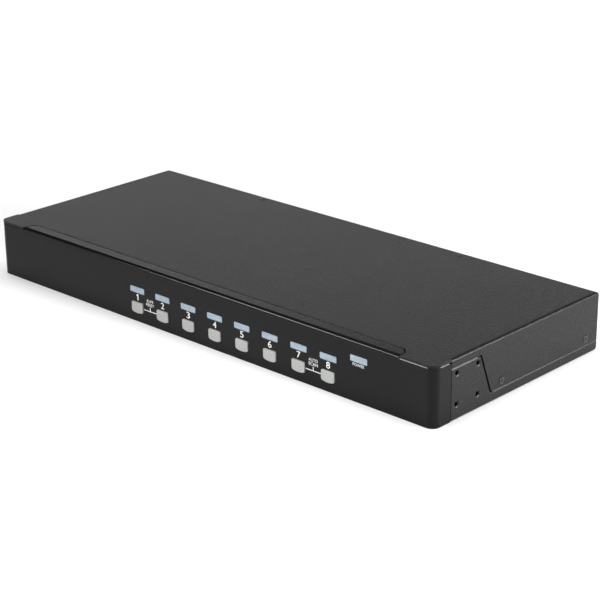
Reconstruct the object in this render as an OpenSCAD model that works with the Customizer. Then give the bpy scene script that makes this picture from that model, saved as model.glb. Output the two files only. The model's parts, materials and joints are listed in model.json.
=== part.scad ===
// Eight-port switch for keyboard, video and mouse, in a one-unit rack-mount case.
// X runs to the right of someone facing the front panel, Y to the rear and Z up.
// The origin is the centre of the case's underside. All sizes are millimetres.

/* [Case] */
// Width of the case
case_w = 442; // [436:1:448]
// Depth of the case, from the front panel to the rear panel
case_d = 182; // [180:1:220]
// Height of the case
case_h = 44; // [43.6:0.1:44.4]
// Thickness of the steel sheet
sheet_t = 1; // [0.8:0.1:1]
// Height of the seam between the tray's lower flange and the cover's side
flange_h = 7.2; // [7:0.1:8]
// Width of the seams between the outer pieces
seam = 0.2; // [0.1:0.05:0.3]
// Width of the open line between the tray's lower flange and the cover's side
flange_gap = 0.25; // [0.2:0.05:0.4]
// Outer radius of the cover's side bends
side_bend_r = 2; // [1.6:0.1:2.4]
// Outer radius of the bends along the rear edges
rear_bend_r = 2.5; // [2:0.1:3]

/* [Bezel] */
// Depth of the bezel along the case's side
bezel_d = 17.2; // [17:0.1:19]
// Wall thickness of the bezel
bezel_wall = 2.5; // [2:0.1:2.6]
// Width of the upright seam behind the bezel
bezel_gap = 0.6; // [0.2:0.05:0.8]
// Radius of the bezel's upright corners
bezel_r = 6; // [5:0.5:8]
// Length of the strip along the bezel's top edge
strip_w = 383; // [380:0.1:388]
// Depth of that strip
strip_d = 10.2; // [10:0.1:12]
// Radius of the strip's long front edge
strip_edge_r = 2.4; // [1.5:0.1:2.4]
// Width of the open seam round the strip
strip_gap = 1; // [0.3:0.05:1.2]
// Height of the hem that the cover turns down over the bezel's edge
hem_h = 1.7; // [1.4:0.1:2]
// Radius of the strip's rear corners
strip_r = 8; // [6:0.5:10]
// Height of the slope along the bezel's top outer edge, under the hem
rim_slope_h = 0.8; // [0.4:0.1:1]

/* [Ear plates] */
// Height of the ear plate's top edge
ear_top = 37.3; // [36.5:0.1:37.5]
// How far the ear plate's top edge runs back from the bezel
ear_run = 30; // [29:0.1:31]
// How far its slanted edge reaches back further at the bottom
ear_slant = 11.5; // [10:0.1:12]
// Radius of the corners along its slanted edge
ear_r = 2; // [1:0.5:3]
// Width of the open gap along the slanted edge
ear_gap = 1.6; // [0.8:0.1:1.8]
// Width of the open line above its top edge
ear_top_gap = 0.4; // [0.3:0.1:0.8]
// Height of the pressed slope along its top edge
ear_slope_h = 1.2; // [0.6:0.1:1.6]
// Height of the pressed slope along the tray's lower flange
flange_slope_h = 0.8; // [0.4:0.1:1]
// Spacing of the bracket holes along the side
bracket_pitch_y = 22; // [21.8:0.1:22.4]
// Spacing of the bracket holes up the side
bracket_pitch_z = 22; // [21.8:0.1:22.4]
// Distance from the bezel to the front column of bracket holes
bracket_setback = 6; // [5.4:0.1:6.4]
// Height of the lower row of bracket holes
bracket_z = 10.9; // [10:0.1:11]
// Diameter of the thread cut in each bracket hole
bracket_bore = 3.3; // [3.2:0.1:3.6]

/* [Buttons and lenses] */
// Number of computers the switch serves
ports = 8; // [8:1:8]
// Distance between neighbouring buttons
button_pitch = 27.2; // [27:0.1:27.4]
// Place of the first button along X
button_first_x = -60.7; // [-61:0.1:-60]
// Height of the button centres
button_z = 11.2; // [10.5:0.1:11.5]
// Width of a button cap
cap_w = 12; // [11:0.1:12.5]
// Height of a button cap
cap_h = 8.5; // [8:0.1:9]
// How far a cap stands out of the bezel
cap_proud = 0.8; // [0.6:0.1:1]
// Travel of a button
travel = 0.5; // [0.3:0.05:0.6]
// Height of the port lens centres
lens_z = 25; // [24:0.1:26]
// Width of a lens
lens_w = 15; // [14:0.1:16]
// Height of a lens
lens_h = 4.5; // [4:0.1:5]
// Place of the power lens along X
power_x = 156.9; // [155:0.1:160]
// Height of the power lens centre
power_z = 31; // [30:0.1:32]

/* [Boards] */
// Thickness of both circuit boards
board_t = 1.6; // [1.2:0.2:1.6]
// Height of the standoffs under the main board
standoff_h = 8; // [6:0.5:9]
// Depth of the main board
main_board_d = 152; // [150:1:160]

/* [Rear sockets] */
// Distance between neighbouring computer sockets
socket_pitch = 35; // [34:0.5:36]
// Place of computer socket one along X
socket_first_x = -196; // [-200:1:-190]
// Place of the daisy-chain socket along X
daisy_x = 92; // [88:1:94]
// Place of the console video socket along X
console_x = 128; // [126:1:130]
// Place of the keyboard and mouse socket stack along X
ps2_x = 156; // [154:1:158]
// Place of the universal serial bus socket stack along X
usb_x = 178; // [176:1:180]
// Place of the power inlet along X
power_inlet_x = 203; // [200:1:205]
// Distance between the two jack screws of a video socket
jack_pitch = 24.99; // [24.99:0.01:24.99]

/* [Hidden] */
round_fn = 48;
hex_fn = 6;
eps = 0.5;
fit = 0.05;

front_y = -case_d / 2;
rear_y = case_d / 2;
side_x = case_w / 2;
bezel_back = front_y + bezel_d;
inner_top = case_h - sheet_t;
cover_side_z = flange_h + flange_gap;
ear_slope = ear_slant / (ear_top - flange_h);
ear_lean = atan(ear_slope);
frame_y = bezel_back + bezel_gap;
hem_z = case_h - hem_h;
wall_gap = 0.1;
inner_wall_x = side_x - sheet_t - wall_gap;
wall_in = inner_wall_x - sheet_t;
inner_wall_y = -27;
inner_wall_top = 37.8;
lip_z = 40.4;
step_z = lip_z - seam;
panel_in = rear_y - sheet_t;
top_flange_y = rear_y - 14;
top_flange_x = 200;
relief_w = 2;
relief_h = 1.2;
relief_d = 1.4;

screw_d = 3;
screw_hole = screw_d + 2 * fit;
head_d = 5;
head_t = 0.3;
cover_screw_l = 5;
slot_w = 0.7;
slot_reach = 1.3;
slot_floor = 0.6;
pan_r = 2.75;
pan_h = 1.8;
bezel_screw_l = 8;
front_board_screw_l = 7;
board_screw_l = 6;
side_screw_ys = [-19.8, 77];
side_screw_z = 12;
top_screw_x = 102;
top_screw_y = rear_y - 6;

bracket_ys = [bezel_back + bracket_setback, bezel_back + bracket_setback + bracket_pitch_y];
bracket_zs = [bracket_z, bracket_z + bracket_pitch_z];
pressed_tan = 0.36;
rim_tan = 0.5;
bracket_sink = 0.35;
bracket_sink_w = 0.9;
collar_r = 3;
collar_l = 1.5;

window_gap = 0.1;
lens_r = 0.8;
pipe_flange = 1;
pipe_flange_t = 1.15;
pipe_stem = [5, 3];
pipe_stem_r = 0.5;
led_size = [3.2, 0.8, 1.6];
led_gap = 0.4;
button_gap = 0.35;
skirt_out = 1;
skirt_t = 1;
cap_top_r = 1.2;
cap_low_r = 2.6;
cap_bow_r = 18;
front_board_y = front_y + 12;
front_board_x = [-82, 176];
front_board_z = [4, 38];
switch_w = 6;
switch_t = 3.5;
plunger_r = 1.75;
plunger_out = 1.5;
plunger_in = 1;
stem_r = 2;
cap_skirt_y = front_y + bezel_wall + fit;

bezel_lid = 2;
boss_r = 3.5;
boss_bore_l = 10;
boss_xs = [-200, -110, 200];
boss_zs = [10, 32];
post_r = 3;
post_bore_l = 7;
post_spots = [[-77, 10], [-77, 33], [48, 33], [146, 10], [171, 33]];

board_z = sheet_t + standoff_h;
board_top = board_z + board_t;
board_back = rear_y - 4;
board_half_w = 212;
standoff_r = 3;
standoff_floor = 2;
standoff_spots = [for (x = [-206, -70, 70, 206], y = [-58, 60]) [x, y]];

ribbon_x = 92;
ribbon_w = 26;
ribbon_t = 0.9;
ribbon_z = 30;
ribbon_bend_r = 6;
ribbon_window = [36, 6];
plug_w = 32;
plug_t = 9;
plug_back = front_board_y + 16;
plug_down_y = plug_back + 12;
plug_top = board_top + 13;

controller_spot = [22, -10];
controller_size = [24, 24, 1.6];
switch_chip_y = 55;
switch_chip_size = [8, 14, 1.8];
regulator_spot = [188, 20];
regulator_size = [24, 20, 2.5];
fin_w = 1.2;
fin_h = 9.5;
fin_pitch = 3.4;
fins = 7;
capacitor_xs = [150, 162, 174, 186];
capacitor_ys = [-24, -10];
capacitor_r = 4;
capacitor_h = 12;

socket_z = board_top + 6.35;
opening_gap = 0.3;
flange_w = 30.8;
flange_high = 12.5;
flange_r = 1.2;
flange_t = 0.8;
flange_y = panel_in - flange_t;
housing_d = 9;
d_top_w = 16.4;
d_low_w = 13.9;
d_h = 8;
d_side = 1.6;
d_cut = 1.2;
shell_t = 0.4;
shell_out = 5.9;
insulator_gap = 0.05;
insulator_back = 0.4;
contact_pitch = 2.29;
contact_stagger = 0.25;
contact_row = 1.98;
contact_r = 0.5;
contact_l = 4;
jack_r = 1.13;
jack_chamfer = 0.3;
jack_hex = 4.75;
jack_l = 5.3;
jack_floor = 0.5;
jack_shank_l = 7;
jack_passage_r = 1.75;
socket_x = [for (i = [0 : ports - 1]) socket_first_x + i * socket_pitch];
video_x = concat(socket_x, [daisy_x, console_x]);

usb_z = [board_top + 3.8, board_top + 11.6];
usb_size = [13.2, 15.6];
usb_back = rear_y - 14;
usb_floor = rear_y - 10;
usb_out = 0.6;
usb_mouth = [12.5, 5.1];
tongue_w = 11.2;
tongue_z = [0.2, 2];
tongue_back = 0.4;

ps2_z = [board_top + 6.5, board_top + 19.5];
ps2_size = [14, 26];
ps2_back = rear_y - 13;
ps2_floor = rear_y - 8;
ps2_out = 0.4;
ps2_collar_r = 6.1;
ps2_mouth_r = 4.7;
ps2_core_r = 3.4;
ps2_core_back = 0.8;
ps2_pins = [-150, -90, -30, 30, 150];
ps2_pin_ring_r = 2.2;
ps2_pin_r = 0.45;
ps2_pin_y = rear_y - 6;

inlet_z = board_top + 5.5;
inlet_size = [9, 11];
inlet_back = rear_y - 14;
inlet_floor = rear_y - 10;
inlet_out = 0.8;
inlet_collar_r = 4.2;
inlet_mouth_r = 3.15;
inlet_pin_r = 1;
inlet_pin_back = 0.5;

// ---- Helpers ----

// A profile drawn in X and Z, extruded from y0 to y1
module along_y(y0, y1) {
    translate([0, y1, 0])
        rotate([90, 0, 0])
            linear_extrude(height = y1 - y0)
                children();
}

// A profile drawn in Y and Z, extruded from x0 to x1
module along_x(x0, x1) {
    translate([x0, 0, 0])
        rotate([90, 0, 90])
            linear_extrude(height = x1 - x0)
                children();
}

// A block between two corners
module block(low, high) {
    translate(low)
        cube(high - low);
}

// The children and their mirror image on the other side of the case
module both_sides() {
    children();
    mirror([1, 0, 0])
        children();
}

// A rectangle with four round corners, centred
module rounded_rect(w, h, r) {
    square([w - 2 * r, h], center = true);
    square([w, h - 2 * r], center = true);
    for (x = [-1, 1], y = [-1, 1])
        translate([x * (w / 2 - r), y * (h / 2 - r)])
            circle(r = r, $fn = round_fn);
}

// A rectangle whose corner at its high end in X and low end in Y is round
module corner_rounded(x0, x1, y0, y1, r) {
    translate([x0, y0])
        square([x1 - x0 - r, y1 - y0]);
    translate([x0, y0 + r])
        square([x1 - x0, y1 - y0 - r]);
    translate([x1 - r, y0 + r])
        circle(r = r, $fn = round_fn);
}

// A round rod along Y from y0 to y1
module rod_y(x, z, y0, y1, r) {
    translate([x, y1, z])
        rotate([90, 0, 0])
            cylinder(r = r, h = y1 - y0, $fn = round_fn);
}

// A round rod along X from x0 to x1
module rod_x(y, z, x0, x1, r) {
    translate([x0, y, z])
        rotate([0, 90, 0])
            cylinder(r = r, h = x1 - x0, $fn = round_fn);
}

// A round rod along Z from z0 to z1
module rod_z(x, y, z0, z1, r) {
    translate([x, y, z0])
        cylinder(r = r, h = z1 - z0, $fn = round_fn);
}

// What a rounding of radius r takes off a square corner at [u, v], turned by a number of degrees
module corner_waste(corner, turn, r) {
    translate(corner)
        rotate(turn)
            difference() {
                translate([-r, -r])
                    square(r + eps);
                translate([-r, -r])
                    circle(r = r, $fn = round_fn);
            }
}

// What a steep slope of height h takes off the top corner, at height z, of an upright face
module slope_waste(face, z, h, slope) {
    polygon([
        [face, z - h],
        [face + eps, z - h],
        [face + eps, z + eps],
        [face - h * slope, z + eps],
        [face - h * slope, z]
    ]);
}

// A cross-head screw: its head stands on z = 0 and its shank points down
module screw(head_r, head_high, shank_r, shank_l) {
    slot_l = slot_reach * head_r;
    slot_deep = head_high + slot_floor;
    difference() {
        union() {
            cylinder(r = head_r, h = head_high, $fn = round_fn);
            translate([0, 0, -shank_l])
                cylinder(r = shank_r, h = shank_l, $fn = round_fn);
        }
        for (turn = [0, 90])
            rotate([0, 0, turn])
                translate([-slot_l / 2, -slot_w / 2, head_high - slot_deep / 2])
                    cube([slot_l, slot_w, slot_deep]);
    }
}

// ---- Outlines that several pieces share ----

// The case seen from above, with the bezel's round upright corners at the front
module plan_outline(inset) {
    w = case_w - 2 * inset;
    r = bezel_r - inset;
    y0 = front_y + inset;
    translate([-w / 2, y0 + r])
        square([w, rear_y - y0 - r]);
    translate([-w / 2 + r, y0])
        square([w - 2 * r, r]);
    for (x = [-1, 1])
        translate([x * (w / 2 - r), y0 + r])
            circle(r = r, $fn = round_fn);
}

// The wall of the case under the cover's hem, seen from above, from the face inwards
module hem_outline(out, deep) {
    difference() {
        plan_outline(-out);
        plan_outline(deep);
        translate([-case_w, bezel_back + bezel_gap])
            square([2 * case_w, case_d]);
    }
}

// The strip along the bezel's top edge, seen from above
module strip_outline(grow) {
    w = strip_w + 2 * grow;
    y1 = front_y + strip_d + grow;
    translate([-w / 2, front_y - eps])
        square([w, strip_d + grow - strip_r + eps]);
    translate([-w / 2 + strip_r, front_y])
        square([w - 2 * strip_r, strip_d + grow]);
    for (x = [-1, 1])
        translate([x * (w / 2 - strip_r), y1 - strip_r])
            circle(r = strip_r, $fn = round_fn);
}

// Where the ear plate's slanted edge is at a height, moved rearwards by the gap
function slant_y(z, gap) = bezel_back + ear_run + (ear_top - z) * ear_slope + gap;

// The ear plate seen from the side: top_grow widens it upwards and gap rearwards
module ear_outline(top_grow, gap, y0, z0) {
    z1 = ear_top + top_grow;
    y_top = slant_y(z1, gap);
    chop = ear_r * tan((90 - ear_lean) / 2);
    polygon([
        [y0, z0],
        [slant_y(z0, gap), z0],
        [y_top + chop * sin(ear_lean), z1 - chop * cos(ear_lean)],
        [y_top - chop, z1],
        [y0, z1],
    ]);
    translate([y_top - chop, z1 - ear_r])
        circle(r = ear_r, $fn = round_fn);
}

// The small web that rounds the inner corner at the foot of the slanted edge, at height z
module slant_foot(z, gap) {
    corner = [slant_y(z, gap), z];
    opening = 90 + ear_lean;
    run = ear_r / tan(opening / 2);
    centre = corner + [run, ear_r];
    difference() {
        polygon([corner, corner + [run, 0], centre, corner + run * [cos(opening), sin(opening)]]);
        translate(centre)
            circle(r = ear_r, $fn = round_fn);
    }
}

// A button cap seen from the front, with a bowed lower edge
module cap_outline(grow) {
    w = cap_w + 2 * grow;
    h = cap_h + 2 * grow;
    bow = cap_bow_r + grow;
    intersection() {
        union() {
            translate([-w / 2, -h / 2 + cap_low_r])
                square([w, h - cap_low_r - cap_top_r]);
            translate([-w / 2 + cap_low_r, -h / 2])
                square([w - 2 * cap_low_r, cap_low_r]);
            translate([-w / 2 + cap_top_r, h / 2 - cap_top_r])
                square([w - 2 * cap_top_r, cap_top_r]);
            for (x = [-1, 1]) {
                translate([x * (w / 2 - cap_top_r), h / 2 - cap_top_r])
                    circle(r = cap_top_r, $fn = round_fn);
                translate([x * (w / 2 - cap_low_r), -h / 2 + cap_low_r])
                    circle(r = cap_low_r, $fn = round_fn);
            }
        }
        translate([0, bow - h / 2])
            circle(r = bow, $fn = round_fn);
    }
}

// A lens seen from the front
module lens_outline(grow) {
    rounded_rect(lens_w + 2 * grow, lens_h + 2 * grow, lens_r);
}

// The D-shaped shell of a video socket, centred
module d_outline(grow) {
    top_x = d_top_w / 2 + grow;
    low_x = d_low_w / 2 + grow;
    z = d_h / 2 + grow;
    polygon([
        [-top_x, z],
        [-top_x, z - d_side],
        [-low_x, -z + d_cut],
        [-low_x + d_cut, -z],
        [low_x - d_cut, -z],
        [low_x, -z + d_cut],
        [top_x, z - d_side],
        [top_x, z],
    ]);
}

// ---- Case ----

// A video socket's openings in the rear panel
module video_cutouts() {
    for (x = video_x) {
        translate([x, socket_z])
            d_outline(opening_gap);
        for (side = [-1, 1])
            translate([x + side * jack_pitch / 2, socket_z])
                circle(r = jack_passage_r, $fn = round_fn);
    }
}

// The base tray's closed skin, before the parts above the lower flange are shaped
module tray_pan() {
    difference() {
        intersection() {
            along_y(frame_y, rear_y)
                union() {
                    corner_rounded(0, side_x, 0, flange_h, sheet_t);
                    mirror([1, 0])
                        corner_rounded(0, side_x, 0, flange_h, sheet_t);
                }
            along_x(-side_x, side_x)
                corner_rounded(frame_y, rear_y, 0, flange_h, rear_bend_r);
        }
        intersection() {
            block([-side_x + sheet_t, frame_y + sheet_t, sheet_t], [side_x - sheet_t, rear_y, case_h]);
            along_x(-side_x, side_x)
                corner_rounded(frame_y + sheet_t, panel_in, sheet_t, case_h, rear_bend_r - sheet_t);
        }
    }
}

// The rear panel's top flange, bent to follow the inside of the cover's rear bend
module top_flange() {
    top = inner_top - fit;
    back = panel_in - wall_gap;
    along_x(-top_flange_x, top_flange_x)
        mirror([0, 1])
            difference() {
                corner_rounded(top_flange_y, back, -top, sheet_t - step_z, rear_bend_r - sheet_t);
                translate([top_flange_y - eps, sheet_t - top])
                    square([back - sheet_t - top_flange_y + eps, top - step_z + eps]);
            }
}

module base_tray() {
    color([0.10, 0.10, 0.10])
        difference() {
            union() {
                tray_pan();
                // Rear panel, its step under the cover's lip and its top flange
                block([-inner_wall_x, panel_in, flange_h - eps], [inner_wall_x, rear_y, step_z]);
                block(
                    [-inner_wall_x, panel_in - wall_gap - sheet_t, step_z - sheet_t],
                    [inner_wall_x, rear_y, step_z]
                );
                top_flange();
                // Front wall behind the bezel
                block([-side_x, frame_y, flange_h - eps], [side_x, frame_y + sheet_t, ear_top - ear_slope_h]);
                both_sides() {
                    // Ear plate, flush with the cover's side
                    along_x(side_x - sheet_t, side_x)
                        union() {
                            ear_outline(0, 0, frame_y, flange_h - eps);
                            slant_foot(flange_h, 0);
                        }
                    // Inner wall behind the cover's side
                    block(
                        [wall_in, inner_wall_y, flange_h - sheet_t],
                        [inner_wall_x, panel_in + eps, inner_wall_top]
                    );
                    block([wall_in, inner_wall_y, flange_h - sheet_t], [side_x, panel_in + eps, flange_h]);
                    // Drawn collars of the bracket holes
                    for (y = bracket_ys, z = bracket_zs)
                        rod_x(y, z, side_x - sheet_t - collar_l, side_x - sheet_t / 2, collar_r);
                }
            }
            both_sides() {
                for (y = bracket_ys, z = bracket_zs) {
                    rod_x(y, z, side_x - sheet_t - collar_l - eps, side_x + eps, bracket_bore / 2);
                    translate([side_x - bracket_sink, y, z])
                        rotate([0, 90, 0])
                            cylinder(
                                r1 = bracket_bore / 2,
                                r2 = bracket_bore / 2 + bracket_sink_w,
                                h = bracket_sink,
                                $fn = round_fn
                            );
                }
                for (y = side_screw_ys)
                    rod_x(y, side_screw_z, wall_in - eps, inner_wall_x + eps, screw_hole / 2);
                rod_z(top_screw_x, top_screw_y, step_z, case_h, screw_hole / 2);
            }
            // Pressed slopes along the top of each ear plate and of the lower flange
            both_sides() {
                along_y(frame_y - eps, slant_y(ear_top, 0) - ear_r)
                    slope_waste(side_x, ear_top, ear_slope_h, pressed_tan);
                along_y(slant_y(flange_h, ear_gap) + ear_r, rear_y + eps)
                    slope_waste(side_x, flange_h, flange_slope_h, pressed_tan);
            }
            // Holes for the bezel's screws and the ribbon cable's window
            for (x = boss_xs, z = boss_zs)
                rod_y(x, z, frame_y - eps, frame_y + sheet_t + eps, screw_hole / 2);
            block(
                [ribbon_x - ribbon_window[0] / 2, frame_y - eps, ribbon_z - ribbon_window[1]],
                [ribbon_x + ribbon_window[0] / 2, frame_y + sheet_t + eps, case_h]
            );
            // Openings of the rear panel
            along_y(panel_in - eps, rear_y + eps)
                union() {
                    video_cutouts();
                    translate([usb_x, board_top + usb_size[1] / 2])
                        square(usb_size + 2 * opening_gap * [1, 1], center = true);
                    for (z = ps2_z)
                        translate([ps2_x, z])
                            circle(r = ps2_collar_r + opening_gap, $fn = round_fn);
                    translate([power_inlet_x, inlet_z])
                        circle(r = inlet_collar_r + opening_gap, $fn = round_fn);
                }
        }
}

// The cover's closed skin, before its front, rear and sides are cut to shape
module cover_skin() {
    difference() {
        intersection() {
            along_y(front_y, rear_y)
                mirror([0, 1])
                    union() {
                        corner_rounded(0, side_x, -case_h, -cover_side_z, side_bend_r);
                        mirror([1, 0])
                            corner_rounded(0, side_x, -case_h, -cover_side_z, side_bend_r);
                    }
            along_x(-side_x, side_x)
                mirror([0, 1])
                    corner_rounded(front_y, rear_y, -case_h, -cover_side_z, rear_bend_r);
        }
        intersection() {
            along_y(front_y - eps, rear_y)
                mirror([0, 1])
                    union() {
                        corner_rounded(0, side_x - sheet_t, -inner_top, 0, side_bend_r - sheet_t);
                        mirror([1, 0])
                            corner_rounded(0, side_x - sheet_t, -inner_top, 0, side_bend_r - sheet_t);
                    }
            along_x(-side_x, side_x)
                mirror([0, 1])
                    corner_rounded(front_y - eps, panel_in, -inner_top, 0, rear_bend_r - sheet_t);
        }
    }
}

// The flat front of the cover over the bezel, with its hem turned down along the edge
module cover_front() {
    join_x = side_x - side_bend_r;
    translate([0, 0, inner_top])
        linear_extrude(height = sheet_t)
            intersection() {
                plan_outline(0);
                translate([-side_x, front_y])
                    square([case_w, frame_y - front_y]);
            }
    block([-join_x, frame_y - eps, inner_top], [join_x, frame_y + eps, case_h]);
    translate([0, 0, hem_z])
        linear_extrude(height = hem_h - eps)
            hem_outline(0, sheet_t);
}

module top_cover() {
    cut_x = side_x - 2 * sheet_t;
    color([0.11, 0.11, 0.11])
        difference() {
            union() {
                intersection() {
                    cover_skin();
                    block([-side_x, frame_y, 0], [side_x, rear_y, case_h]);
                }
                cover_front();
            }
            // The recess that the bezel's top strip fills
            translate([0, 0, hem_z - eps])
                linear_extrude(height = hem_h + 2 * eps)
                    strip_outline(strip_gap);
            // Open rear below the lip
            block(
                [-side_x + sheet_t, panel_in - eps, 0],
                [side_x - sheet_t, rear_y + eps, lip_z]
            );
            both_sides() {
                // Opening for the ear plate
                along_x(cut_x, side_x + eps)
                    union() {
                        ear_outline(ear_top_gap, ear_gap, frame_y - eps, flange_h - eps);
                        slant_foot(cover_side_z, ear_gap);
                    }
                for (y = side_screw_ys) {
                    rod_x(y, side_screw_z, cut_x, side_x + eps, screw_hole / 2);
                    rod_x(y, side_screw_z, side_x - head_t, side_x + eps, head_d / 2 + fit);
                }
                rod_z(top_screw_x, top_screw_y, inner_top - eps, case_h + eps, screw_hole / 2);
                rod_z(top_screw_x, top_screw_y, case_h - head_t, case_h + eps, head_d / 2 + fit);
            }
        }
}

module front_bezel() {
    inner_y = front_y + bezel_wall;
    color([0.09, 0.09, 0.09])
        difference() {
            union() {
                difference() {
                    union() {
                        intersection() {
                            linear_extrude(height = inner_top - fit)
                                plan_outline(0);
                            block([-side_x, front_y, 0], [side_x, bezel_back, case_h]);
                        }
                        translate([0, 0, inner_top - eps])
                            linear_extrude(height = sheet_t + eps)
                                intersection() {
                                    strip_outline(0);
                                    plan_outline(0);
                                }
                    }
                    translate([0, 0, bezel_lid])
                        linear_extrude(height = inner_top - 2 * bezel_lid)
                            intersection() {
                                plan_outline(bezel_wall);
                                translate([-side_x, front_y])
                                    square([case_w, bezel_d + eps]);
                            }
                }
                // Bosses for the bezel's own screws and posts for the front board
                for (x = boss_xs, z = boss_zs)
                    rod_y(x, z, inner_y - eps, frame_y - fit, boss_r);
                for (p = post_spots)
                    rod_y(p[0], p[1], inner_y - eps, front_board_y, post_r);
            }
            // The strip's rounded front edge
            along_x(-strip_w / 2, strip_w / 2)
                corner_waste([front_y, case_h], 90, strip_edge_r);
            // A rebate under the cover's hem, with a relief notch at its rear end
            difference() {
                translate([0, 0, hem_z - fit])
                    linear_extrude(height = hem_h)
                        hem_outline(eps, sheet_t + fit);
                block([-strip_w / 2, front_y - eps, 0], [strip_w / 2, front_y + strip_d, case_h + eps]);
            }
            both_sides()
                block(
                    [side_x - relief_d, bezel_back - relief_w, hem_z - relief_h],
                    [side_x + eps, bezel_back + eps, hem_z - fit]
                );
            // Slopes along its top outer edge, under the hem, beside the strip and along the sides
            both_sides() {
                along_x(strip_w / 2, side_x - bezel_r)
                    mirror([1, 0])
                        slope_waste(-front_y, hem_z - fit, rim_slope_h, rim_tan);
                along_y(front_y + bezel_r, bezel_back + eps)
                    slope_waste(side_x, hem_z - fit, rim_slope_h, pressed_tan);
            }
            for (x = boss_xs, z = boss_zs)
                rod_y(x, z, frame_y - boss_bore_l, frame_y + eps, screw_hole / 2);
            for (p = post_spots)
                rod_y(p[0], p[1], front_board_y - post_bore_l, front_board_y + eps, screw_hole / 2);
            // Windows for the caps and the lenses
            for (i = [0 : ports - 1]) {
                along_y(front_y - eps, inner_y + eps)
                    translate([button_first_x + i * button_pitch, button_z])
                        cap_outline(button_gap);
                along_y(front_y - eps, inner_y + eps)
                    translate([button_first_x + i * button_pitch, lens_z])
                        lens_outline(window_gap);
            }
            along_y(front_y - eps, inner_y + eps)
                translate([power_x, power_z])
                    lens_outline(window_gap);
        }
}

// ---- Front panel pieces ----

// A light pipe: its face in the window, a flange behind the wall and a stem to the LED
module light_pipe(x, z) {
    flange_front = front_y + bezel_wall + fit;
    flange_back = flange_front + pipe_flange_t;
    color([0.63, 0.68, 0.72])
        translate([x, 0, z])
            union() {
                along_y(front_y - fit, flange_front)
                    lens_outline(0);
                along_y(flange_front, flange_back)
                    rounded_rect(lens_w + 2 * pipe_flange, lens_h + 2 * pipe_flange, lens_r);
                along_y(flange_back, front_board_y - led_size[1] - led_gap)
                    rounded_rect(pipe_stem[0], pipe_stem[1], pipe_stem_r);
            }
}

module port_lens(i) {
    light_pipe(button_first_x + i * button_pitch, lens_z);
}

module power_lens() {
    light_pipe(power_x, power_z);
}

module button_cap(i) {
    color([0.68, 0.69, 0.68])
        translate([button_first_x + i * button_pitch, 0, button_z])
            union() {
                along_y(front_y - cap_proud, cap_skirt_y)
                    cap_outline(0);
                along_y(cap_skirt_y, cap_skirt_y + skirt_t)
                    rounded_rect(cap_w + 2 * skirt_out, cap_h + 2 * skirt_out, cap_top_r);
                rod_y(0, 0, cap_skirt_y + skirt_t, front_board_y - switch_t - plunger_out, stem_r);
            }
}

module switch_plunger(i) {
    top_y = front_board_y - switch_t;
    color([0.05, 0.05, 0.05])
        rod_y(
            button_first_x + i * button_pitch,
            button_z,
            top_y - plunger_out,
            top_y + plunger_in,
            plunger_r
        );
}

module tact_switches() {
    top_y = front_board_y - switch_t;
    color([0.15, 0.15, 0.16])
        for (i = [0 : ports - 1])
            translate([button_first_x + i * button_pitch, 0, button_z])
                difference() {
                    block([-switch_w / 2, top_y, -switch_w / 2], [switch_w / 2, front_board_y, switch_w / 2]);
                    rod_y(0, 0, top_y - eps, top_y + plunger_in + travel + seam, plunger_r + fit);
                }
}

module front_board() {
    color([0.05, 0.28, 0.14])
        difference() {
            block(
                [front_board_x[0], front_board_y, front_board_z[0]],
                [front_board_x[1], front_board_y + board_t, front_board_z[1]]
            );
            for (p = post_spots)
                rod_y(p[0], p[1], front_board_y - eps, front_board_y + board_t + eps, screw_hole / 2);
        }
}

module indicator_leds() {
    port_spots = [for (i = [0 : ports - 1]) [button_first_x + i * button_pitch, lens_z]];
    color([0.9, 0.9, 0.85])
        for (p = concat(port_spots, [[power_x, power_z]]))
            translate([p[0], front_board_y - led_size[1] / 2, p[1]])
                cube(led_size, center = true);
}

module front_board_screws() {
    color("silver")
        for (p = post_spots)
            translate([p[0], front_board_y + board_t, p[1]])
                rotate([-90, 0, 0])
                    screw(pan_r, pan_h, screw_d / 2, front_board_screw_l);
}

module bezel_screws() {
    color("silver")
        for (x = boss_xs, z = boss_zs)
            translate([x, frame_y + sheet_t, z])
                rotate([-90, 0, 0])
                    screw(pan_r, pan_h, screw_d / 2, bezel_screw_l);
}

// ---- Boards and what is on them ----

// The flat cable leaves the front plug level and turns down into the main board's plug
module ribbon_cable() {
    inner_r = ribbon_bend_r - ribbon_t / 2;
    bend_y = plug_down_y - ribbon_bend_r;
    bend_z = ribbon_z - ribbon_bend_r;
    color([0.62, 0.64, 0.66])
        along_x(ribbon_x - ribbon_w / 2, ribbon_x + ribbon_w / 2)
            union() {
                translate([plug_back, ribbon_z - ribbon_t / 2])
                    square([bend_y - plug_back, ribbon_t]);
                intersection() {
                    translate([bend_y, bend_z])
                        difference() {
                            circle(r = inner_r + ribbon_t, $fn = round_fn);
                            circle(r = inner_r, $fn = round_fn);
                        }
                    translate([bend_y, bend_z])
                        square(2 * ribbon_bend_r);
                }
                translate([plug_down_y - ribbon_t / 2, plug_top])
                    square([ribbon_t, bend_z - plug_top]);
            }
}

module ribbon_plugs() {
    color([0.07, 0.07, 0.08]) {
        block(
            [ribbon_x - plug_w / 2, front_board_y + board_t, ribbon_z - plug_t / 2],
            [ribbon_x + plug_w / 2, plug_back, ribbon_z + plug_t / 2]
        );
        block(
            [ribbon_x - plug_w / 2, plug_down_y - plug_t / 2, board_top],
            [ribbon_x + plug_w / 2, plug_down_y + plug_t / 2, plug_top]
        );
    }
}

module main_board() {
    color([0.05, 0.30, 0.15])
        difference() {
            block(
                [-board_half_w, board_back - main_board_d, board_z],
                [board_half_w, board_back, board_top]
            );
            for (p = standoff_spots)
                rod_z(p[0], p[1], board_z - eps, board_top + eps, screw_hole / 2);
        }
}

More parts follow.
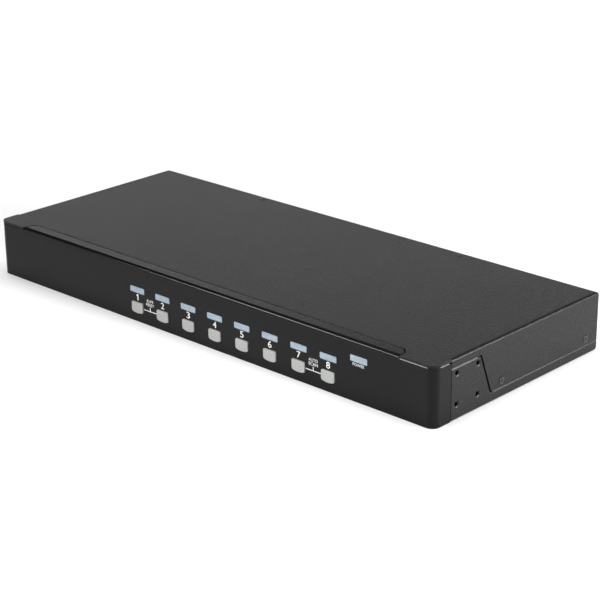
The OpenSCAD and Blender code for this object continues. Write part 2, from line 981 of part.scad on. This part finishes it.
module board_standoffs() {
    color([0.75, 0.65, 0.35])
        for (p = standoff_spots)
            translate([p[0], p[1], sheet_t])
                difference() {
                    cylinder(r = standoff_r, h = standoff_h, $fn = hex_fn);
                    translate([0, 0, standoff_floor])
                        cylinder(d = screw_hole, h = standoff_h, $fn = round_fn);
                }
}

module board_screws() {
    color("silver")
        for (p = standoff_spots)
            translate([p[0], p[1], board_top])
                screw(pan_r, pan_h, screw_d / 2, board_screw_l);
}

// A block of a size that stands on the main board, with its centre at a spot
module on_board(spot, size) {
    translate([spot[0] - size[0] / 2, spot[1] - size[1] / 2, board_top])
        cube(size);
}

module controller_chip() {
    color([0.06, 0.06, 0.07])
        on_board(controller_spot, controller_size);
}

module video_switch_chips() {
    color([0.06, 0.06, 0.07])
        for (x = socket_x)
            on_board([x, switch_chip_y], switch_chip_size);
}

module voltage_regulator() {
    fin_size = [fin_w, regulator_size[1], regulator_size[2] + fin_h];
    color([0.6, 0.6, 0.62]) {
        on_board(regulator_spot, regulator_size);
        for (i = [0 : fins - 1])
            on_board(regulator_spot + [(i - (fins - 1) / 2) * fin_pitch, 0], fin_size);
    }
}

module capacitors() {
    color([0.12, 0.14, 0.3])
        for (x = capacitor_xs, y = capacitor_ys)
            rod_z(x, y, board_top, board_top + capacitor_h, capacitor_r);
}

// ---- Rear sockets ----

// A video socket: its flange behind the panel, its housing on the board and its D-shaped shell
module video_socket(x) {
    color([0.78, 0.78, 0.80])
        translate([x, 0, socket_z])
            difference() {
                union() {
                    along_y(flange_y, panel_in)
                        rounded_rect(flange_w, flange_high, flange_r);
                    along_y(flange_y, rear_y + shell_out)
                        d_outline(0);
                    block(
                        [-flange_w / 2, flange_y - housing_d, board_top - socket_z],
                        [flange_w / 2, flange_y, flange_high / 2]
                    );
                }
                along_y(flange_y + flange_t, rear_y + shell_out + eps)
                    d_outline(-shell_t);
                for (side = [-1, 1])
                    rod_y(side * jack_pitch / 2, 0, flange_y - housing_d - eps, rear_y, jack_passage_r);
            }
}

// The plastic block with three rows of contact holes inside each video socket
module socket_insulators() {
    face_y = rear_y + shell_out - insulator_back;
    color([0.10, 0.20, 0.55])
        for (x = video_x)
            translate([x, 0, socket_z])
                difference() {
                    along_y(panel_in, face_y)
                        d_outline(-shell_t - insulator_gap);
                    for (row = [-1, 0, 1], i = [-2 : 2])
                        rod_y(
                            (i + (row == 0 ? contact_stagger : -contact_stagger)) * contact_pitch,
                            row * contact_row,
                            face_y - contact_l,
                            face_y + eps,
                            contact_r
                        );
                }
}

// Hexagonal standoff screws on both sides of each video socket
module jack_screws() {
    hex_r = jack_hex / 2 / cos(180 / hex_fn);
    color([0.80, 0.80, 0.78])
        for (x = video_x, side = [-1, 1])
            translate([x + side * jack_pitch / 2, rear_y, socket_z])
                rotate([-90, 0, 0])
                    difference() {
                        union() {
                            cylinder(r = hex_r, h = jack_l, $fn = hex_fn);
                            translate([0, 0, -jack_shank_l])
                                cylinder(d = screw_d, h = jack_shank_l, $fn = round_fn);
                        }
                        translate([0, 0, jack_floor])
                            cylinder(r = jack_r, h = jack_l, $fn = round_fn);
                        translate([0, 0, jack_l - jack_chamfer])
                            cylinder(
                                r1 = jack_r,
                                r2 = jack_r + 2 * jack_chamfer,
                                h = 2 * jack_chamfer,
                                $fn = round_fn
                            );
                    }
}

// Two serial bus sockets, one above the other, in one folded metal shell
module usb_socket_stack() {
    color([0.80, 0.80, 0.82])
        translate([usb_x, 0, 0])
            difference() {
                block(
                    [-usb_size[0] / 2, usb_back, board_top],
                    [usb_size[0] / 2, rear_y + usb_out, board_top + usb_size[1]]
                );
                for (z = usb_z)
                    block(
                        [-usb_mouth[0] / 2, usb_floor, z - usb_mouth[1] / 2],
                        [usb_mouth[0] / 2, rear_y + usb_out + eps, z + usb_mouth[1] / 2]
                    );
            }
}

module usb_tongues() {
    color([0.92, 0.92, 0.90])
        for (z = usb_z)
            block(
                [usb_x - tongue_w / 2, usb_floor, z + tongue_z[0]],
                [usb_x + tongue_w / 2, rear_y - tongue_back, z + tongue_z[1]]
            );
}

// Keyboard and mouse sockets, one above the other, in one moulded block
module ps2_socket_stack() {
    core_y = rear_y - ps2_core_back;
    color([0.30, 0.18, 0.42])
        translate([ps2_x, 0, 0])
            difference() {
                union() {
                    block(
                        [-ps2_size[0] / 2, ps2_back, board_top],
                        [ps2_size[0] / 2, panel_in - fit, board_top + ps2_size[1]]
                    );
                    for (z = ps2_z)
                        rod_y(0, z, panel_in - eps, rear_y + ps2_out, ps2_collar_r);
                }
                for (z = ps2_z) {
                    difference() {
                        rod_y(0, z, ps2_floor, rear_y + ps2_out + eps, ps2_mouth_r);
                        rod_y(0, z, ps2_floor - eps, core_y, ps2_core_r);
                    }
                    for (turn = ps2_pins)
                        rod_y(
                            ps2_pin_ring_r * cos(turn),
                            z + ps2_pin_ring_r * sin(turn),
                            ps2_pin_y,
                            core_y + eps,
                            ps2_pin_r
                        );
                }
            }
}

// A barrel socket for the power adaptor, with its centre pin
module power_inlet() {
    color([0.05, 0.05, 0.05])
        translate([power_inlet_x, 0, 0]) {
            difference() {
                union() {
                    block(
                        [-inlet_size[0] / 2, inlet_back, board_top],
                        [inlet_size[0] / 2, panel_in - fit, board_top + inlet_size[1]]
                    );
                    rod_y(0, inlet_z, panel_in - eps, rear_y + inlet_out, inlet_collar_r);
                }
                rod_y(0, inlet_z, inlet_floor, rear_y + inlet_out + eps, inlet_mouth_r);
            }
            rod_y(0, inlet_z, inlet_floor - eps, rear_y - inlet_pin_back, inlet_pin_r);
        }
}

// ---- Cover screws ----

module cover_side_screws() {
    color([0.12, 0.12, 0.12])
        both_sides()
            for (y = side_screw_ys)
                translate([side_x - head_t, y, side_screw_z])
                    rotate([0, 90, 0])
                        screw(head_d / 2, 2 * head_t, screw_d / 2, cover_screw_l);
}

module cover_top_screws() {
    color([0.12, 0.12, 0.12])
        both_sides()
            translate([top_screw_x, top_screw_y, case_h - head_t])
                screw(head_d / 2, 2 * head_t, screw_d / 2, cover_screw_l);
}

base_tray();
top_cover();
front_bezel();
power_lens();
for (i = [0 : ports - 1]) {
    port_lens(i);
    button_cap(i);
    switch_plunger(i);
    video_socket(socket_x[i]);
}
tact_switches();
front_board();
indicator_leds();
front_board_screws();
bezel_screws();
ribbon_cable();
ribbon_plugs();
main_board();
board_standoffs();
board_screws();
video_socket(console_x);  // console_video_socket
video_socket(daisy_x);  // daisy_chain_socket
socket_insulators();
jack_screws();
usb_socket_stack();
usb_tongues();
ps2_socket_stack();
power_inlet();
cover_side_screws();
cover_top_screws();
controller_chip();
video_switch_chips();
voltage_regulator();
capacitors();
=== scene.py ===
"""Looks for an eight-port keyboard, video and mouse switch in a one-unit rack case.

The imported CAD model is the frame. This script gives every CAD node its material and its small
edge radii, prints the legends, and sets the floor, the lights and the camera.
X runs to the right of someone facing the front panel, Y to the rear and Z up, in metres.
"""

import json
import math

import bpy
from mathutils import Matrix, Quaternion, Vector

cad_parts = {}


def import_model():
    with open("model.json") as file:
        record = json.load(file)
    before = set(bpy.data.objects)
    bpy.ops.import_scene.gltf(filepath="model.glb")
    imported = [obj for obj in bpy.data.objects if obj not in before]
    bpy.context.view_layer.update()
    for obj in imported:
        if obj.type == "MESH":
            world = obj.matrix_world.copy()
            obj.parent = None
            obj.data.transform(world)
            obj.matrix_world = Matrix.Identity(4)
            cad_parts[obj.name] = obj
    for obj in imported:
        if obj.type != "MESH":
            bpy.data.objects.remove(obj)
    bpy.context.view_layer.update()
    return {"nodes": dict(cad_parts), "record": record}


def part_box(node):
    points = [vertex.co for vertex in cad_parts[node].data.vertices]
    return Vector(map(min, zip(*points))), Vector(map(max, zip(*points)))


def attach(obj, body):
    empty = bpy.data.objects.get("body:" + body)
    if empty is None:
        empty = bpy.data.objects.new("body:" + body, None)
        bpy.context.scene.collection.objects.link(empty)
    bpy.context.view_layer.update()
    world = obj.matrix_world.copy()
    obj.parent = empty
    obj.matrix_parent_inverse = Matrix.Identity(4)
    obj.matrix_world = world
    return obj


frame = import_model()

MM = 0.001
PORTS = 8
CHASSIS = "chassis"
nodes = frame["nodes"]
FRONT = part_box("front_bezel")[0].y
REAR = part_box("base_tray")[1].y


def centre_of(node):
    low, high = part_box(node)
    return (low + high) / 2


# ---- Materials ----

EDGE_SAMPLES = 6


def set_stops(ramp, stops):
    """Gives a colour ramp node its stops, each (position, linear colour)."""
    elements = ramp.color_ramp.elements
    while len(elements) < len(stops):
        elements.new(0.5)
    for element, (position, colour) in zip(elements, stops):
        element.position = position
        element.color = (*colour, 1)


class Shader:
    """A Principled material whose texture nodes are added and linked by short calls."""

    def __init__(self, name, roughness, metallic=0.0, specular=0.5):
        self.material = bpy.data.materials.new(name)
        self.material.use_nodes = True
        self.tree = self.material.node_tree
        self.surface = self.tree.nodes["Principled BSDF"]
        self.surface.inputs["Roughness"].default_value = roughness
        self.surface.inputs["Metallic"].default_value = metallic
        self.surface.inputs["Specular IOR Level"].default_value = specular
        self.place = self.add("ShaderNodeTexCoord").outputs["Object"]
        self.edge_normal = None

    def add(self, kind, **inputs):
        node = self.tree.nodes.new(kind)
        for name, value in inputs.items():
            node.inputs[name.replace("_", " ")].default_value = value
        return node

    def link(self, source, target):
        self.tree.links.new(source, target)

    def noise(self, size, detail=2.0, stretch=(1, 1, 1)):
        """Noise whose features are about size metres across, longer where stretch is below 1."""
        mapping = self.add("ShaderNodeMapping", Scale=stretch)
        texture = self.add("ShaderNodeTexNoise", Scale=1 / size, Detail=detail)
        self.link(self.place, mapping.inputs["Vector"])
        self.link(mapping.outputs["Vector"], texture.inputs["Vector"])
        return texture.outputs["Fac"]

    def colours(self, factor, stops):
        """Base colour from a factor, through stops of (position, linear colour)."""
        ramp = self.add("ShaderNodeValToRGB")
        set_stops(ramp, stops)
        self.link(factor, ramp.inputs["Fac"])
        self.link(ramp.outputs["Color"], self.surface.inputs["Base Color"])

    def roughness(self, factor, low, high):
        spread = self.add("ShaderNodeMapRange", To_Min=low, To_Max=high)
        self.link(factor, spread.inputs["Value"])
        self.link(spread.outputs["Result"], self.surface.inputs["Roughness"])

    def round_edges(self, radius):
        """Shades every sharp edge as a rounding of that radius; call it before bump()."""
        bevel = self.add("ShaderNodeBevel", Radius=radius)
        bevel.samples = EDGE_SAMPLES
        self.edge_normal = bevel.outputs["Normal"]

    def bump(self, factor, depth):
        bump = self.add("ShaderNodeBump", Strength=1.0, Distance=depth)
        self.link(factor, bump.inputs["Height"])
        if self.edge_normal:
            self.link(self.edge_normal, bump.inputs["Normal"])
        self.link(bump.outputs["Normal"], self.surface.inputs["Normal"])


def grey(level):
    return (level, level, level)


GLOSS_DRIFT = 40


def textured(
    name, dark, light, grain, depth, rough, metallic=0.0, specular=0.5, stretch=(1, 1, 1), edge=0.0
):
    """A surface mottled between two colours, with a bump of that grain and a wide drift in gloss.

    rough is (least, most), and edge is the radius that sharp edges are shaded with.
    """
    shader = Shader(name, rough[0], metallic, specular)
    if edge:
        shader.round_edges(edge)
    fine = shader.noise(grain, 3.0, stretch)
    shader.colours(fine, [(0.32, dark), (0.68, light)])
    shader.roughness(shader.noise(GLOSS_DRIFT * grain), *rough)
    shader.bump(fine, depth)
    return shader


COAT_GRAIN = 1.3 * MM
COAT_DEPTH = 0.24 * MM


def powder_coat(name, level, rough, specular, edge):
    """Fine-grained black powder coat."""
    shades = grey(0.5 * level), grey(1.5 * level)
    return textured(name, *shades, COAT_GRAIN, COAT_DEPTH, rough, 0.0, specular, edge=edge).material


def moulded(name, colour, grain, depth, rough, specular=0.5, edge=0.0):
    """Moulded plastic with the fine texture of its tool."""
    dark = tuple(0.92 * c for c in colour)
    light = tuple(1.08 * c for c in colour)
    return textured(name, dark, light, grain, depth, rough, 0.0, specular, edge=edge).material


PLATE_GRAIN = 0.5 * MM
PLATE_DEPTH = 0.003 * MM


def plated(name, colour, rough, stretch=(1, 1, 1), edge=0.0):
    """Bright metal with faint rolling marks."""
    dark = tuple(0.85 * c for c in colour)
    return textured(name, dark, colour, PLATE_GRAIN, PLATE_DEPTH, rough, 1.0, 0.5, stretch, edge).material


def lens_material():
    """Milky blue-grey plastic, glossy and slightly clouded."""
    shader = Shader("lens_milky", 0.28)
    shader.surface.inputs["Coat Weight"].default_value = 0.35
    shader.surface.inputs["Coat Roughness"].default_value = 0.12
    cloud = shader.noise(6 * MM, 1.0, (1, 1, 2))
    shader.colours(cloud, [(0.3, (0.235, 0.31, 0.38)), (0.7, (0.315, 0.39, 0.46))])
    shader.bump(shader.noise(2.5 * MM), 0.01 * MM)
    return shader.material


def board_material():
    """Green solder mask over copper tracks that run along the board."""
    shader = Shader("solder_mask", 0.3)
    tracks = shader.noise(1.6 * MM, 1.0, (0.15, 1, 1))
    shader.colours(tracks, [(0.46, (0.006, 0.075, 0.028)), (0.54, (0.012, 0.13, 0.05))])
    shader.bump(tracks, 0.03 * MM)
    return shader.material


BLEND_HALF = 0.1 * MM


def two_colour_material(split_z, low_colour, high_colour):
    """Moulded plastic in one colour below a height and another above it."""
    shader = Shader("ps2_violet_and_green", 0.4)
    apart = shader.add("ShaderNodeSeparateXYZ")
    shader.link(shader.place, apart.inputs["Vector"])
    blend = {"From_Min": split_z - BLEND_HALF, "From_Max": split_z + BLEND_HALF}
    span = shader.add("ShaderNodeMapRange", **blend)
    shader.link(apart.outputs["Z"], span.inputs["Value"])
    shader.colours(span.outputs["Result"], [(0.0, low_colour), (1.0, high_colour)])
    shader.bump(shader.noise(0.4 * MM), 0.01 * MM)
    return shader.material


PS2_SPLIT = centre_of("ps2_socket_stack").z
CASE_COAT = {"level": 0.010, "rough": (0.28, 0.32), "specular": 0.17}
BEZEL_FINISH = {"grain": 0.4 * MM, "depth": 0.006 * MM, "rough": (0.20, 0.23), "specular": 0.16}
SLEEVE_FINISH = {"grain": 0.8 * MM, "depth": 0.01 * MM, "rough": (0.25, 0.35)}

MATERIALS = {
    "case_steel": powder_coat("tray_powder_coat", edge=0.3 * MM, **CASE_COAT),
    "cover_steel": powder_coat("cover_powder_coat", edge=0.4 * MM, **CASE_COAT),
    "bezel_plastic": moulded("bezel_black", grey(0.003), edge=0.5 * MM, **BEZEL_FINISH),
    "lens_plastic": lens_material(),
    "button_plastic": moulded("button_grey", (0.36, 0.37, 0.355), 0.5 * MM, 0.006 * MM, (0.40, 0.46)),
    "switch_plastic": moulded("switch_black", grey(0.02), 0.5 * MM, 0.01 * MM, (0.4, 0.5)),
    "circuit_board": board_material(),
    "led_epoxy": moulded("led_body", (0.8, 0.8, 0.72), 0.5 * MM, 0.005 * MM, (0.2, 0.3)),
    "bright_screw": plated("zinc_plate", (0.62, 0.62, 0.60), (0.28, 0.38)),
    "black_screw": powder_coat("screw_black", 0.006, (0.22, 0.28), 0.6, 0.15 * MM),
    "ribbon_grey": moulded("ribbon_grey", (0.32, 0.33, 0.35), 1.2 * MM, 0.05 * MM, (0.4, 0.5)),
    "connector_black": moulded("connector_black", grey(0.014), 0.5 * MM, 0.01 * MM, (0.38, 0.46)),
    "standoff_brass": plated("brass", (0.72, 0.52, 0.22), (0.25, 0.35)),
    "socket_metal": plated("nickel_shell", (0.60, 0.59, 0.56), (0.30, 0.38), (0.2, 1, 1), 0.2 * MM),
    "insulator_blue": moulded("insulator_blue", (0.010, 0.035, 0.20), 0.4 * MM, 0.006 * MM, (0.35, 0.45)),
    "jack_metal": plated("nickel_jack", (0.58, 0.57, 0.54), (0.28, 0.36), edge=0.2 * MM),
    "tongue_white": moulded("tongue_white", (0.75, 0.75, 0.70), 0.4 * MM, 0.005 * MM, (0.3, 0.4)),
    "ps2_plastic": two_colour_material(PS2_SPLIT, (0.10, 0.035, 0.20), (0.03, 0.21, 0.06)),
    "chip_plastic": moulded("chip_epoxy", grey(0.018), 0.3 * MM, 0.01 * MM, (0.45, 0.55)),
    "heatsink_aluminium": plated("aluminium", (0.70, 0.70, 0.70), (0.3, 0.4), (1, 0.2, 1)),
    "capacitor_sleeve": moulded("capacitor_sleeve", (0.02, 0.03, 0.12), **SLEEVE_FINISH),
}


def paint(piece, material):
    piece.data.materials.clear()
    piece.data.materials.append(material)


# ---- CAD nodes: materials and small edge radii ----

EDGE_RADII = {
    "button_plastic": 0.55 * MM,
    "lens_plastic": 0.15 * MM,
    "ps2_plastic": 0.3 * MM,
    "tongue_white": 0.2 * MM,
}
WELD_DISTANCE = 0.002 * MM
FLAT_ANGLE = math.radians(0.5)
SHARP_ANGLE = math.radians(30)


def soften(piece, radius):
    """Joins the CAD faces' shared edges, merges flat faces and rounds the sharp edges."""
    weld = piece.modifiers.new("weld", "WELD")
    weld.merge_threshold = WELD_DISTANCE
    flat = piece.modifiers.new("flat", "DECIMATE")
    flat.decimate_type = "DISSOLVE"
    flat.angle_limit = FLAT_ANGLE
    bevel = piece.modifiers.new("edge", "BEVEL")
    bevel.width = radius
    bevel.segments = 3
    bevel.limit_method = "ANGLE"
    bevel.angle_limit = SHARP_ANGLE
    bevel.harden_normals = True


slot_of = {part["node"]: part["material_slot"] for part in frame["record"]["subparts"]}
for node, piece in nodes.items():
    slot = slot_of[node]
    paint(piece, MATERIALS[slot])
    if slot in EDGE_RADII:
        soften(piece, EDGE_RADII[slot])


# ---- Printed legends ----

PRINT_T = 0.02 * MM
PRINT_FRONT = FRONT - PRINT_T / 2
PRINT_REAR = REAR + PRINT_T / 2
DIGIT_WEIGHT = 0.006


def print_material():
    """White screen print with slightly uneven ink."""
    shader = Shader("white_print", 0.5)
    shader.colours(shader.noise(0.6 * MM), [(0.3, grey(0.72)), (0.7, grey(0.82))])
    shader.bump(shader.noise(0.4 * MM), 0.005 * MM)
    return shader.material


WHITE_PRINT = print_material()
FRONT_FACE = Matrix(((1, 0, 0), (0, 0, -1), (0, 1, 0))).to_4x4()
REAR_FACE = Matrix(((-1, 0, 0), (0, 0, 1), (0, 1, 0))).to_4x4()


def text_mesh(name, words, weight):
    """The words as a flat mesh with a little thickness, with the built-in font."""
    curve = bpy.data.curves.new(name, "FONT")
    curve.body = words
    curve.size = 1
    curve.offset = weight
    curve.extrude = 0.5
    curve.resolution_u = 6
    maker = bpy.data.objects.new(name, curve)
    bpy.context.scene.collection.objects.link(maker)
    graph = bpy.context.evaluated_depsgraph_get()
    mesh = bpy.data.meshes.new_from_object(maker.evaluated_get(graph))
    bpy.data.objects.remove(maker)
    return mesh


def corners(mesh):
    low = Vector(min(v.co[i] for v in mesh.vertices) for i in range(3))
    high = Vector(max(v.co[i] for v in mesh.vertices) for i in range(3))
    return low, high


def stick(name, mesh, size, middle, face, surface):
    """Scales a flat mesh to size (width, height) and lays it on a face of the case at middle (x, z)."""
    low, high = corners(mesh)
    span = high - low
    fit = Matrix.Diagonal((size[0] / span.x, size[1] / span.y, PRINT_T / span.z, 1))
    mesh.transform(fit @ Matrix.Translation(-(low + high) / 2))
    mesh.transform(face)
    mesh.transform(Matrix.Translation((middle[0], surface, middle[1])))
    mesh.validate()
    piece = bpy.data.objects.new(name, mesh)
    bpy.context.scene.collection.objects.link(piece)
    paint(piece, WHITE_PRINT)
    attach(piece, CHASSIS)


def bar_mesh(name, bars):
    """Flat bars, each (low x, low y, high x, high y), joined in one mesh with some thickness."""
    points = []
    faces = []
    for x0, y0, x1, y1 in bars:
        start = len(points)
        points += [(x, y, z) for z in (0, 1) for x, y in ((x0, y0), (x1, y0), (x1, y1), (x0, y1))]
        quads = ((3, 2, 1, 0), (4, 5, 6, 7), (0, 1, 5, 4), (1, 2, 6, 5), (2, 3, 7, 6), (3, 0, 4, 7))
        faces += [tuple(start + i for i in quad) for quad in quads]
    mesh = bpy.data.meshes.new(name)
    mesh.from_pydata(points, [], faces)
    return mesh


def prism_mesh(name, outline):
    """A flat shape with a straight-edged outline, given anticlockwise, with some thickness."""
    count = len(outline)
    points = [(x, y, z) for z in (0, 1) for x, y in outline]
    faces = [tuple(range(count - 1, -1, -1)), tuple(range(count, 2 * count))]
    for i in range(count):
        following = (i + 1) % count
        faces.append((i, following, following + count, i + count))
    mesh = bpy.data.meshes.new(name)
    mesh.from_pydata(points, [], faces)
    return mesh


DIGIT_SIZE = (3.4 * MM, 4.9 * MM)
DIGIT_Z = 19.45 * MM
ONE_OUTLINE = ((0.9, 0), (1.9, 0), (1.9, 4.9), (1.2, 4.9), (0, 4.0), (0, 3.1), (0.9, 3.6))
ONE_SHARE = 0.59


def port_digit(name, port, size, middle, face, surface):
    """A port's number; the 1 has no foot and is narrower than the others."""
    if port == 1:
        size = (ONE_SHARE * size[0], size[1])
        mesh = prism_mesh(name, ONE_OUTLINE)
    else:
        mesh = text_mesh(name, str(port), DIGIT_WEIGHT)
    stick(name, mesh, size, middle, face, surface)


for port in range(1, PORTS + 1):
    spot = centre_of(f"port_lens_{port}").x, DIGIT_Z
    port_digit(f"digit_{port}", port, DIGIT_SIZE, spot, FRONT_FACE, PRINT_FRONT)

# A cap's box takes in its skirt, hidden behind the bezel and wider than the cap that shows. The
# line ends this far inside the skirt's edge, which leaves a small gap to the cap.
SKIRT_LAP = 0.3 * MM
LINE_LIFT = 0.15 * MM
LINE_HALF = 0.3 * MM
TICK_RISE = 3.1 * MM


def bracket(name, first, second):
    """The line between two button caps with a tick up to its words; gives the tick's x."""
    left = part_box(f"button_cap_{first}")[1].x - SKIRT_LAP
    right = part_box(f"button_cap_{second}")[0].x + SKIRT_LAP
    line_z = centre_of("button_cap_1").z + LINE_LIFT
    line_top = line_z + LINE_HALF
    middle = (left + right) / 2
    line = (left, line_z - LINE_HALF, right, line_top)
    tick = (middle - LINE_HALF, line_top, middle + LINE_HALF, line_z + TICK_RISE)
    mesh = bar_mesh(name, [line, tick])
    low, high = corners(mesh)
    span = high - low
    centre = (low + high) / 2
    stick(name, mesh, (span.x, span.y), (centre.x, centre.y), FRONT_FACE, PRINT_FRONT)
    return middle


def words(name, text, width, height, x, z):
    """Words on the front face, of that width and letter height, centred at x and z."""
    stick(name, text_mesh(name, text, 0.0), (width, height), (x, z), FRONT_FACE, PRINT_FRONT)


LETTER_H = 2.3 * MM
SMALL_LETTER_H = 2.2 * MM
reset_x = bracket("reset_bracket", 1, 2)
words("reset_words_upper", "K/M", 6.4 * MM, LETTER_H, reset_x, 19.3 * MM)
words("reset_words_lower", "RESET", 8.4 * MM, SMALL_LETTER_H, reset_x, 16.4 * MM)
scan_x = bracket("scan_bracket", 7, 8)
words("scan_words_upper", "AUTO", 8.4 * MM, LETTER_H, scan_x, 19.2 * MM)
words("scan_words_lower", "SCAN", 8.4 * MM, LETTER_H, scan_x, 16.2 * MM)
words("power_word", "POWER", 10.2 * MM, SMALL_LETTER_H, centre_of("power_lens").x, 27.0 * MM)

# Port numbers above the sockets for the computers, on the rear panel
REAR_DIGIT_SIZE = (2.2 * MM, 3.2 * MM)
REAR_DIGIT_GAP = 4.0 * MM
for port in range(1, PORTS + 1):
    socket_low, socket_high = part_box(f"computer_socket_{port}")
    spot = (socket_low.x + socket_high.x) / 2, socket_high.z + REAR_DIGIT_GAP
    port_digit(f"rear_digit_{port}", port, REAR_DIGIT_SIZE, spot, REAR_FACE, PRINT_REAR)

# ---- Floor, lights and camera ----


FLOOR_REACH = 3.6
WALL_RISE = 1.2
FLOOR_SINK = 0.05 * MM


def floor_mesh():
    """A flat disc whose rim curves up into a low wall."""
    turns = 96
    steps = 12
    profile = [(FLOOR_REACH, 0.0)]
    for i in range(1, steps + 1):
        angle = math.pi / 2 * i / steps
        profile.append((FLOOR_REACH + WALL_RISE * math.sin(angle), WALL_RISE * (1 - math.cos(angle))))
    points = []
    for radius, height in profile:
        for i in range(turns):
            angle = 2 * math.pi * i / turns
            points.append((radius * math.cos(angle), radius * math.sin(angle), height - FLOOR_SINK))
    faces = [tuple(range(turns))]
    for ring in range(steps):
        for i in range(turns):
            following = (i + 1) % turns
            start = ring * turns
            faces.append((start + i, start + turns + i, start + turns + following, start + following))
    mesh = bpy.data.meshes.new("floor")
    mesh.from_pydata(points, [], faces)
    mesh.shade_smooth()
    return mesh


def floor():
    """The pale floor and the low wall all round, far from the case."""
    piece = bpy.data.objects.new("floor", floor_mesh())
    bpy.context.scene.collection.objects.link(piece)
    shader = Shader("floor_pale", 0.9, specular=0.1)
    shader.colours(shader.noise(0.8), [(0.3, grey(0.90)), (0.7, grey(0.92))])
    paint(piece, shader.material)


def softbox(name, aim, direction, distance, size, power, spread=180):
    """A rectangular area light of that power in watts, at a distance from aim, facing it."""
    light = bpy.data.lights.new(name, "AREA")
    light.shape = "RECTANGLE"
    light.size, light.size_y = size
    light.energy = power
    light.spread = math.radians(spread)
    lamp = bpy.data.objects.new(name, light)
    towards = Vector(direction).normalized()
    lamp.location = Vector(aim) + towards * distance
    lamp.rotation_mode = "QUATERNION"
    lamp.rotation_quaternion = (-towards).to_track_quat("-Z", "Y")
    lamp.visible_camera = False
    bpy.context.scene.collection.objects.link(lamp)


# The surroundings' brightness, from the horizon at 0 to straight up at 1
WORLD_STOPS = ((0.0, 0.04), (0.45, 0.04), (0.55, 0.01), (0.78, 0.01), (0.86, 1.0))


def world(level):
    """A studio with a bright ceiling panel, a dark ring below it and a dim band above the wall."""
    surround = bpy.data.worlds.new("studio")
    surround.use_nodes = True
    tree = surround.node_tree
    place = tree.nodes.new("ShaderNodeTexCoord")
    apart = tree.nodes.new("ShaderNodeSeparateXYZ")
    ramp = tree.nodes.new("ShaderNodeValToRGB")
    gain = tree.nodes.new("ShaderNodeMath")
    gain.operation = "MULTIPLY"
    gain.inputs[1].default_value = level
    set_stops(ramp, [(height, grey(share)) for height, share in WORLD_STOPS])
    tree.links.new(place.outputs["Generated"], apart.inputs["Vector"])
    tree.links.new(apart.outputs["Z"], ramp.inputs["Fac"])
    tree.links.new(ramp.outputs["Color"], gain.inputs[0])
    tree.links.new(gain.outputs["Value"], tree.nodes["Background"].inputs["Strength"])
    tree.nodes["Background"].inputs["Color"].default_value = (1, 1, 1, 1)
    bpy.context.scene.world = surround


def camera():
    """A long lens that looks down on the right front corner."""
    azimuth = math.radians(43.40)
    elevation = math.radians(21.12)
    roll = math.radians(-0.53)
    distance = 1.368
    target = Vector((-7.17, 26.98, -2.97)) * MM
    back = Vector(
        (
            math.sin(azimuth) * math.cos(elevation),
            -math.cos(azimuth) * math.cos(elevation),
            math.sin(elevation),
        )
    )
    data = bpy.data.cameras.new("camera")
    data.lens = 106.8
    data.clip_start = 0.05
    data.clip_end = 50
    eye = bpy.data.objects.new("camera", data)
    eye.rotation_mode = "QUATERNION"
    eye.location = target + back * distance
    eye.rotation_quaternion = (-back).to_track_quat("-Z", "Y") @ Quaternion((0, 0, 1), roll)
    bpy.context.scene.collection.objects.link(eye)
    bpy.context.scene.camera = eye


LIGHTS = {
    "back_left": {
        "aim": (0, 0, 0),
        "direction": (-0.64, 0.68, 0.36),
        "distance": 2.5,
        "size": (3.0, 0.3),
        "power": 3.0,
    },
    "back_right": {
        "aim": (0.2, 0, 0),
        "direction": (0.84, 0.54, 0.16),
        "distance": 1.3,
        "size": (0.5, 0.3),
        "power": 24,
    },
    "front_left": {
        "aim": (0.195, FRONT, 0.04),
        "direction": (-0.64, -0.69, 0.33),
        "distance": 1.0,
        "size": (0.45, 0.12),
        "power": 0.42,
        "spread": 40,
    },
    "right_floor": {
        "aim": (0.36, 0.06, 0),
        "direction": (0.35, -0.2, 0.9),
        "distance": 0.6,
        "size": (0.3, 0.3),
        "power": 0.2,
        "spread": 70,
    },
}
WORLD_LEVEL = 3.0

floor()
world(WORLD_LEVEL)
for name, settings in LIGHTS.items():
    softbox(name, **settings)
camera()
bpy.context.scene.view_settings.view_transform = "Standard"
